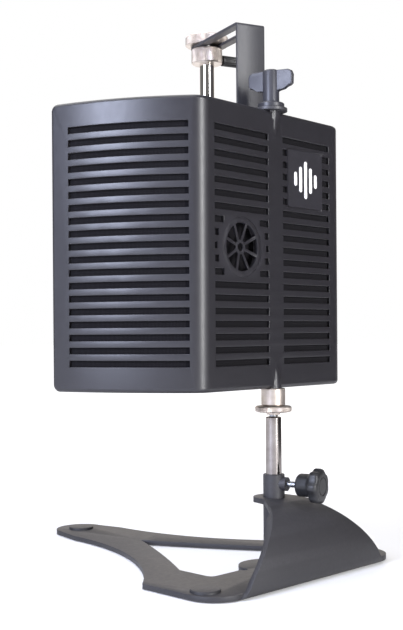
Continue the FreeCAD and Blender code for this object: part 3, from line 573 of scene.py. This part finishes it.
for nodeName in ("outer_cover", "inner_cover"):
    newObject(nodeName + "Evened", evened(nodeName), "shield", "shield_plastic", shieldPlastic, nodeName)
print("rounded and evened nodes made")


# Puts a copy of an object on every point, standing along the point's facing attribute.
def makeCopiesTree():
    tree = bpy.data.node_groups.new("placeCopies", "GeometryNodeTree")
    for socketName, kind in (("Geometry", "NodeSocketGeometry"), ("Copy", "NodeSocketObject"),
                             ("Finish", "NodeSocketMaterial")):
        tree.interface.new_socket(socketName, in_out="INPUT", socket_type=kind)
    tree.interface.new_socket("Geometry", in_out="OUTPUT", socket_type="NodeSocketGeometry")
    groupIn = tree.nodes.new("NodeGroupInput")
    groupOut = tree.nodes.new("NodeGroupOutput")
    info = tree.nodes.new("GeometryNodeObjectInfo")
    facing = tree.nodes.new("GeometryNodeInputNamedAttribute")
    facing.data_type = "FLOAT_VECTOR"
    facing.inputs["Name"].default_value = "facing"
    align = tree.nodes.new("FunctionNodeAlignRotationToVector")
    align.axis = "Z"
    copies = tree.nodes.new("GeometryNodeInstanceOnPoints")
    realize = tree.nodes.new("GeometryNodeRealizeInstances")
    paint = tree.nodes.new("GeometryNodeSetMaterial")
    wires = ((groupIn.outputs["Copy"], info.inputs["Object"]),
             (groupIn.outputs["Geometry"], copies.inputs["Points"]),
             (info.outputs["Geometry"], copies.inputs["Instance"]),
             (facing.outputs["Attribute"], align.inputs["Vector"]),
             (align.outputs["Rotation"], copies.inputs["Rotation"]),
             (copies.outputs["Instances"], realize.inputs["Geometry"]),
             (realize.outputs["Geometry"], paint.inputs["Geometry"]),
             (groupIn.outputs["Finish"], paint.inputs["Material"]),
             (paint.outputs["Geometry"], groupOut.inputs["Geometry"]))
    for source, target in wires:
        tree.links.new(source, target)
    return tree


copiesTree = makeCopiesTree()


# A mesh of copies of one mesh at (point, direction) places in metres, joined with a base mesh.
def placeCopies(name, places, original, material, base=None):
    points = bpy.data.meshes.new(name + "Points")
    points.from_pydata([tuple(point) for point, _ in places], [], [])
    facing = points.attributes.new("facing", "FLOAT_VECTOR", "POINT")
    for i, (_, direction) in enumerate(places):
        facing.data[i].vector = direction
    holder = bpy.data.objects.new(name + "Points", points)
    single = bpy.data.objects.new(name + "Single", original)
    for thing in (holder, single):
        bpy.context.scene.collection.objects.link(thing)
    modifier = holder.modifiers.new("copies", "NODES")
    modifier.node_group = copiesTree
    for item in copiesTree.interface.items_tree:
        if item.in_out == "INPUT" and item.name == "Copy":
            modifier[item.identifier] = single
        elif item.in_out == "INPUT" and item.name == "Finish":
            modifier[item.identifier] = material
    holder.update_tag()
    depsgraph = bpy.context.evaluated_depsgraph_get()
    made = bpy.data.meshes.new_from_object(holder.evaluated_get(depsgraph))
    bm = bmesh.new()
    bm.from_mesh(made)
    if base is not None:
        bm.from_mesh(base)
    for thing in (holder, single):
        bpy.data.objects.remove(thing)
    return meshFrom(bm, name)


# Changeable values, millimetres: pitch and height of the diamond knurl on each rim, the plain edge beside it,
# and the rims that are lower than their whole piece.
knurlValues = {
    "pitch": 1.25, "height": 0.35, "edge": 1.0, "rim": {"lock_disc": 6.0}, "steps": 96,
    "grooveEdge": 3.0, "grooveFoot": 3.6, "grooveDepth": 0.5,
    "collar": 7.0, "collarEdge": 0.2, "collarSteps": 64,
}


# A flat four-sided pyramid pointing along +Z.
def knurlDiamond():
    half = knurlValues["pitch"] * 0.62
    bm = bmesh.new()
    ends = ((half, 0), (0, half), (-half, 0), (0, -half))
    corners = [bm.verts.new((x * mm, y * mm, -0.05 * mm)) for x, y in ends]
    tip = bm.verts.new((0, 0, knurlValues["height"] * mm))
    for i in range(4):
        bm.faces.new((corners[i], corners[(i + 1) % 4], tip))
    bm.faces.new(corners[::-1])
    return meshFrom(bm, "knurlDiamond", 10)


# A turned ring the size of a CAD node, with a diamond knurl round its rim.
def knurledRing(name, node, bore, faceGroove):
    k = knurlValues
    low, high = (Vector(v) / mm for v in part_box(node))
    centre = (low + high) / 2
    radius = (high.x - low.x) / 2
    tall = k["rim"].get(node, high.z - low.z)
    top = high.z
    bottom = top - tall
    rim = radius - k["height"]
    e = k["edge"]
    profile = [(bore, bottom), (rim - e, bottom), (rim, bottom + e), (rim, top - e), (rim - e, top)]
    if faceGroove:
        near, far, floor = k["grooveEdge"], k["grooveFoot"], top - k["grooveDepth"]
        profile += [(rim - near, top), (rim - far, floor), (bore + far, floor), (bore + near, top)]
    profile += [(bore, top)]
    bm = lathe(profile, k["steps"])
    if low.z < bottom - 0.1:
        r = k["collar"]
        sleeve = [(bore, low.z), (r - k["collarEdge"], low.z), (r, low.z + 0.3), (r, bottom)]
        lathe(sleeve, k["collarSteps"], bm)
    bmesh.ops.translate(bm, verts=bm.verts, vec=(centre.x * mm, centre.y * mm, 0))
    base = meshFrom(bm, name + "Base")
    count = int(2 * math.pi * radius / k["pitch"])
    rows = int((tall - 2 * e) / (k["pitch"] * 0.55))
    places = []
    for row in range(rows):
        z = bottom + e + (row + 0.5) * (tall - 2 * e) / rows
        for i in range(count):
            a = 2 * math.pi * (i + 0.5 * (row % 2)) / count
            out = Vector((math.cos(a), math.sin(a), 0))
            point = Vector((centre.x, centre.y, z)) + out * rim
            places.append((point * mm, out))
    return placeCopies(name, places, knurlDiamond(), nickel, base)


for ringName, node, body, bore, faceGroove in (("lockDisc", "lock_disc", "lock_disc", 4.84, False),
                                               ("discNut", "top_disc_nut", "disc_nut", 6.08, True),
                                               ("stemCollar", "stem_collar", "carriage", 8.08, False)):
    ring = knurledRing(ringName, node, bore, faceGroove)
    newObject(ringName, ring, body, "nickel", nickel, node)
print("nickel parts made")


# Changeable values, millimetres: where the clamp's screw and knob start along its axis, and their lengths.
clampValues = {"screwStart": 8.05, "screwLength": 37.95, "knobStart": 26.5, "knobLength": 26.0}
clampCentre = nodeCentre("clamp_screw")
clampFoot = Vector((poleAxis.x, poleAxis.y, clampCentre.z))
clampAxis = (clampCentre - clampFoot).normalized()

# Changeable values, millimetres: pitch and depth of each thread.
threadValues = {
    "pole_stud": {"pitch": 1.5875, "depth": 0.75, "slot": "steel", "body": "pole"},
    "stem_thread": {"pitch": 0.94, "depth": 0.5, "slot": "steel", "body": "stem"},
    "clamp_screw": {"pitch": 1.0, "depth": 0.5, "slot": "steel", "body": "clamp"},
}


def threadedNode(node):
    values = threadValues[node]
    low, high = (Vector(v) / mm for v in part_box(node))
    centre = (low + high) / 2
    size = high - low
    if node == "clamp_screw":
        bm = threadRod(size.z / 2, values["pitch"], clampValues["screwLength"], values["depth"])
        standOn(bm, clampFoot + clampAxis * clampValues["screwStart"] * mm, clampAxis)
    else:
        bm = threadRod(size.x / 2, values["pitch"], size.z, values["depth"], 48)
        bmesh.ops.translate(bm, verts=bm.verts, vec=Vector((centre.x, centre.y, low.z)) * mm)
    bmesh.ops.dissolve_degenerate(bm, dist=1e-6, edges=bm.edges)
    newObject(node + "Turned", meshFrom(bm, node + "Turned", 50), values["body"], values["slot"], steel, node)


for nodeName in threadValues:
    threadedNode(nodeName)
print("threads made")


# Changeable values, millimetres: the scalloped head, its grooves and its neck.
starKnobValues = {
    "lobes": 7, "radius": 17.2, "grooveAt": 23.8, "grooveR": 8.4, "neck": 11.3, "round": 2.2, "steps": 196,
    "grooveFrom": 9.0, "grooveLean": 0.55, "blend": 0.9,
}


# Radius of the scalloped head where the turned profile has radius r.
def starRadius(angle, r, h):
    k = starKnobValues
    step = 2 * math.pi / k["lobes"]
    away = (angle + math.pi / 2 + step / 2) % step - step / 2
    reach = k["grooveR"] ** 2 - (k["grooveAt"] * math.sin(away)) ** 2
    if reach <= 0 or r < k["grooveFrom"]:
        return r
    cut = k["grooveAt"] * math.cos(away) - math.sqrt(reach)
    cut -= (k["radius"] - r) * k["grooveLean"]
    blend = k["blend"]
    return -math.log(math.exp(-r / blend) + math.exp(-cut / blend)) * blend if cut < r + 4 else r


def makeStarKnob():
    k = starKnobValues
    length = clampValues["knobLength"]
    n, e = k["neck"], k["round"]
    face = [(3.05, 0.0), (7.6, 0.0)]
    neck = [(n - 1.6, 0.35), (n - 0.5, 1.2), (n, 2.6), (n + 0.1, 11.5), (n + 0.6, 13.9), (n + 2.2, 15.2)]
    back = [(k["radius"] - e, 15.6), (k["radius"] - 0.6, 16.4), (k["radius"], 17.8)]
    front = [(k["radius"], length - 3.6), (k["radius"] - 0.7, length - 1.5),
             (k["radius"] - e - 0.4, length - 0.35)]
    cap = [(12.4, length), (9.2, length), (8.9, length - 0.7), (8.3, length - 0.7), (8.0, length - 0.1),
           (3.0, length - 0.02)]
    bm = lathe(face + neck + back + front + cap, k["steps"], None, starRadius)
    standOn(bm, clampFoot + clampAxis * clampValues["knobStart"] * mm, clampAxis)
    newObject("starKnob", meshFrom(bm, "starKnob", 48), "clamp", "knob_plastic", knobPlastic, "clamp_knob")


makeStarKnob()


# Changeable values, millimetres: half outline of the grip as (along, up) points, its half thickness and
# rounding, the radii of hub and flange, and the grip's turn in degrees.
handleValues = {
    "outline": ((0, 473.5), (8.5, 474.5), (14.0, 477.6), (21.6, 479.2), (23.6, 481.0), (23.9, 490.0),
                (22.4, 493.6), (19.0, 495.2), (0, 495.4)),
    "half": 2.75, "round": 1.3, "hub": 8.15, "flange": 13.1, "turn": 14.0,
}


def makeHandle():
    low, high = (Vector(v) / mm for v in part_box("top_knob"))
    centre = (low + high) / 2
    t = handleValues["half"]
    right = list(handleValues["outline"])
    outline = right + [(-x, z) for x, z in reversed(right) if x > 0]
    bm = bmesh.new()
    sides = [[bm.verts.new((x, y, z)) for y, z in outline] for x in (-t, t)]
    for side in sides:
        bm.faces.new(side)
    count = len(outline)
    for i in range(count):
        j = (i + 1) % count
        bm.faces.new((sides[0][i], sides[0][j], sides[1][j], sides[1][i]))
    rims = [e for e in bm.edges if abs(e.verts[0].co.x - e.verts[1].co.x) < 0.01]
    bmesh.ops.bevel(bm, geom=rims, offset=handleValues["round"], segments=4, profile=0.5, affect="EDGES")
    bmesh.ops.scale(bm, vec=(mm, mm, mm), verts=bm.verts)
    turn = Matrix.Rotation(math.radians(handleValues["turn"]), 3, "Z")
    bmesh.ops.rotate(bm, verts=bm.verts, cent=(0, 0, 0), matrix=turn)
    h, f = handleValues["hub"], handleValues["flange"]
    base = low.z
    turned = [(4.05, base), (f - 0.8, base), (f, base + 0.8), (f, base + 4.2), (f - 0.8, base + 5.0),
              (h + 1.6, base + 5.2), (h + 0.4, base + 6.0), (h, base + 7.4), (h, high.z - 2.0),
              (h - 0.6, high.z - 0.7), (h - 2.0, high.z), (5.0, high.z), (4.6, high.z - 0.8),
              (2.0, high.z - 1.0)]
    lathe(turned, 72, bm)
    bmesh.ops.translate(bm, verts=bm.verts, vec=(centre.x * mm, centre.y * mm, 0))
    newObject("topHandle", meshFrom(bm, "topHandle", 40), "top_handle", "handle_plastic", handlePlastic,
              "top_knob")


makeHandle()


# Changeable values, millimetres: the fluted head and its reach from the stem.
thumbValues = {
    "radius": 5.85, "flutes": 16, "flute": 0.35, "plain": 2.2, "core": 4.0, "start": 18.5, "end": 40.0,
}


def thumbRadius(angle, r, h):
    k = thumbValues
    inside = k["start"] + k["plain"] < h < k["end"] - k["plain"] and r > k["core"]
    return r - k["flute"] * abs(math.sin(angle * k["flutes"] / 2)) ** 3 if inside else r


def makeThumb():
    axis = nodeCentre("mic_stem")
    head = nodeCentre("thumb_head")
    out = Vector((head.x - axis.x, head.y - axis.y, 0)).normalized()
    r, s, e = thumbValues["radius"], thumbValues["start"], thumbValues["end"]
    rows = [(2.55, s), (r - 0.9, s), (r - 0.2, s + 0.4), (r, s + 1.2), (r, s + 2.1), (r, s + 2.4)]
    rows += [(r, e - 2.4), (r, e - 2.1), (r, e - 1.2), (r - 0.3, e - 0.4), (r - 1.0, e), (3.4, e),
             (3.0, e - 0.6), (0.6, e - 0.6)]
    bm = lathe(rows, 128, None, thumbRadius)
    standOn(bm, (axis.x, axis.y, head.z), out)
    newObject("thumbHead", meshFrom(bm, "thumbHead", 45), "thumb", "thumb_black", knobPlastic, "thumb_head")


makeThumb()
print("knobs made")


# Changeable values, millimetres: head size and the cross recess.
coverScrewValues = {
    "head": 3.15, "shank": 1.5, "length": 15.3, "crossLong": 3.4, "crossWide": 0.9, "crossDeep": 0.9,
}


# One screw standing along +Z with its head's face at the origin.
def coverScrewMesh():
    k = coverScrewValues
    rows = [(0.3, -k["length"]), (k["shank"], -k["length"] + 1.4), (k["shank"], -1.4),
            (k["head"] - 0.2, -1.4), (k["head"], -1.1), (k["head"] - 0.35, -0.45), (k["head"] - 1.2, -0.1),
            (0.4, 0.0)]
    solid = bpy.data.objects.new("screwSolid", meshFrom(lathe(rows, 32), "screwSolid"))
    bpy.context.scene.collection.objects.link(solid)
    for long, wide in ((k["crossLong"], k["crossWide"]), (k["crossWide"], k["crossLong"])):
        bm = bmesh.new()
        bmesh.ops.create_cube(bm, size=1.0)
        bmesh.ops.scale(bm, vec=(long * mm, wide * mm, k["crossDeep"] * 2 * mm), verts=bm.verts)
        cutter = bpy.data.objects.new("screwCut", meshFrom(bm, "screwCut"))
        bpy.context.scene.collection.objects.link(cutter)
        cut = solid.modifiers.new("cross", "BOOLEAN")
        cut.operation = "DIFFERENCE"
        cut.solver = "EXACT"
        cut.object = cutter
    depsgraph = bpy.context.evaluated_depsgraph_get()
    mesh = bpy.data.meshes.new_from_object(solid.evaluated_get(depsgraph))
    for cut in list(solid.modifiers):
        bpy.data.objects.remove(cut.object)
    bpy.data.objects.remove(solid)
    return mesh


# Changeable values, millimetres and degrees: the plan of the shield and the depth of each layer.
shieldValues = {
    "face": -5.0, "flat": 98.0, "corner": 20.0, "least": 6.0, "turn": 52.0,
    "wing": 300.0, "end": 79.3, "margin": 3.6, "side": 4.5, "cell": 4.0, "vent": (-52.0, 31.6),
}
# Changeable values, millimetres and degrees: where the cover screws stand.
screwSpots = {"x": 60.0, "headings": (60.0, 74.5), "inset": 9.5, "depth": 32.6}


def wingCentre():
    t = math.radians(shieldValues["turn"])
    r, w = shieldValues["corner"], shieldValues["wing"]
    return (-shieldValues["flat"] + (w - r) * math.sin(t), shieldValues["face"] + r + (w - r) * math.cos(t))


wingMiddle = wingCentre()


def wingPoint(depth, heading):
    r = shieldValues["wing"] - depth
    return (wingMiddle[0] - r * math.sin(heading), wingMiddle[1] - r * math.cos(heading))


# Points and inward normals from the middle of the back to the left free end.
def halfPlan(depth, side):
    r = max(shieldValues["corner"] - depth, shieldValues["least"])
    y = shieldValues["face"] + depth
    reach = shieldValues["wing"] - depth - r
    x = wingMiddle[0] - math.sqrt(reach ** 2 - (y + r - wingMiddle[1]) ** 2)
    join = math.atan2(wingMiddle[0] - x, wingMiddle[1] - y - r)
    end = math.radians(shieldValues["end"]) - side / shieldValues["wing"]
    rows = [((x * i / 24, y), (0.0, 1.0)) for i in range(25)]
    for i in range(1, 9):
        h = join * i / 8
        rows.append(((x - r * math.sin(h), y + r - r * math.cos(h)), (math.sin(h), math.cos(h))))
    for i in range(1, 37):
        h = join + (end - join) * i / 36
        rows.append((wingPoint(depth, h), (math.sin(h), math.cos(h))))
    return rows


# A closed layer following the shield, quilted by `bulge` between the rows of slots.
def layerMesh(name, depth, thick, bulge, ventHole):
    plan = halfPlan(depth + thick / 2, shieldValues["side"] + 0.3)
    plan = [((-p[0], p[1]), (-n[0], n[1])) for p, n in reversed(plan[1:])] + plan
    low, high = (Vector(v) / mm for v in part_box("outer_scrim"))
    count = int((high.z - low.z) / shieldValues["cell"])
    source = random.Random(7)
    vent = Vector((shieldValues["vent"][0], (low.z + high.z) / 2))
    bm = bmesh.new()
    skins = []
    for face in (-1, 1):
        skin = []
        for (x, y), (nx, ny) in plan:
            column = []
            for j in range(count + 1):
                z = low.z + 0.3 + (high.z - low.z - 0.6) * j / count
                inside = min(j, count - j) > 0
                swell = thick / 2 - 0.1 - bulge * source.random() if inside else thick / 2 - 0.15
                px, pz = x, z
                away = Vector((x - vent.x, z - vent.y))
                if ventHole and abs(away.length - shieldValues["vent"][1]) < 3.2 and y < 10:
                    away = away.normalized() * shieldValues["vent"][1]
                    px, pz = vent.x + away.x, vent.y + away.y
                column.append(bm.verts.new((px + nx * face * swell, y + ny * face * swell, pz)))
            skin.append(column)
        skins.append(skin)
    for skin in skins:
        for a, b in zip(skin, skin[1:]):
            for j in range(count):
                bm.faces.new((a[j], b[j], b[j + 1], a[j + 1]))
    front, rear = skins
    for k in (0, len(front) - 1):
        for j in range(count):
            bm.faces.new((front[k][j], front[k][j + 1], rear[k][j + 1], rear[k][j]))
    for j in (0, count):
        for k in range(len(front) - 1):
            bm.faces.new((front[k][j], rear[k][j], rear[k + 1][j], front[k + 1][j]))
    if ventHole:
        gone = []
        for f in bm.faces:
            c = f.calc_center_median()
            if c.y < 10 and math.hypot(c.x - vent.x, c.z - vent.y) < shieldValues["vent"][1] - 0.2:
                gone.append(f)
        bmesh.ops.delete(bm, geom=gone, context="FACES")
        rims = [e for e in bm.edges if e.is_boundary]
        bmesh.ops.bridge_loops(bm, edges=rims)
    bmesh.ops.scale(bm, vec=(mm, mm, mm), verts=bm.verts)
    bmesh.ops.translate(bm, verts=bm.verts, vec=poleFoot)
    return meshFrom(bm, name, 60)


# Changeable values: depth, thickness and unevenness of each layer in millimetres.
layerValues = {
    "outerScrim": {
        "node": "outer_scrim", "depth": 3.0, "thick": 2.0,
        "bulge": 0.12, "slot": "felt", "vent": True,
    },
    "innerScrim": {
        "node": "inner_scrim", "depth": 29.0, "thick": 2.0,
        "bulge": 0.12, "slot": "felt", "vent": False,
    },
    "outerWool": {
        "node": "outer_wool", "depth": 5.0, "thick": 8.0,
        "bulge": 0.5, "slot": "wool", "vent": True,
    },
    "innerWool": {
        "node": "inner_wool", "depth": 18.6, "thick": 10.4,
        "bulge": 0.5, "slot": "wool", "vent": False,
    },
}


def makeLayers():
    for name, k in layerValues.items():
        soft = k["slot"] == "wool"
        mesh = layerMesh(name, k["depth"], k["thick"], k["bulge"], k["vent"])
        piece = newObject(name, mesh, "shield", k["slot"], wool if soft else cloth, k["node"])


makeLayers()


def makeCoverScrews():
    z0, z1 = (corner[2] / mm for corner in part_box("outer_cover"))
    sunk = screwSpots["depth"] + 1.0
    places = []
    spots = [((-screwSpots["x"], shieldValues["face"]), (0.0, 1.0))]
    for heading in screwSpots["headings"]:
        h = math.radians(heading)
        spots.append((wingPoint(0, h), (math.sin(h), math.cos(h))))
    for (x, y), (nx, ny) in spots:
        for side in (1, -1):
            for z in (z0 + screwSpots["inset"], z1 - screwSpots["inset"]):
                across = side * (x + nx * sunk)
                point = Vector((across, y + ny * sunk, z)) * mm
                places.append((point + poleFoot, Vector((side * nx, ny, 0))))
    mesh = placeCopies("coverScrews", places, coverScrewMesh(), steel)
    newObject("coverScrews", mesh, "shield", "steel", steel, "cover_screws")


makeCoverScrews()
print("shield layers and screws made")
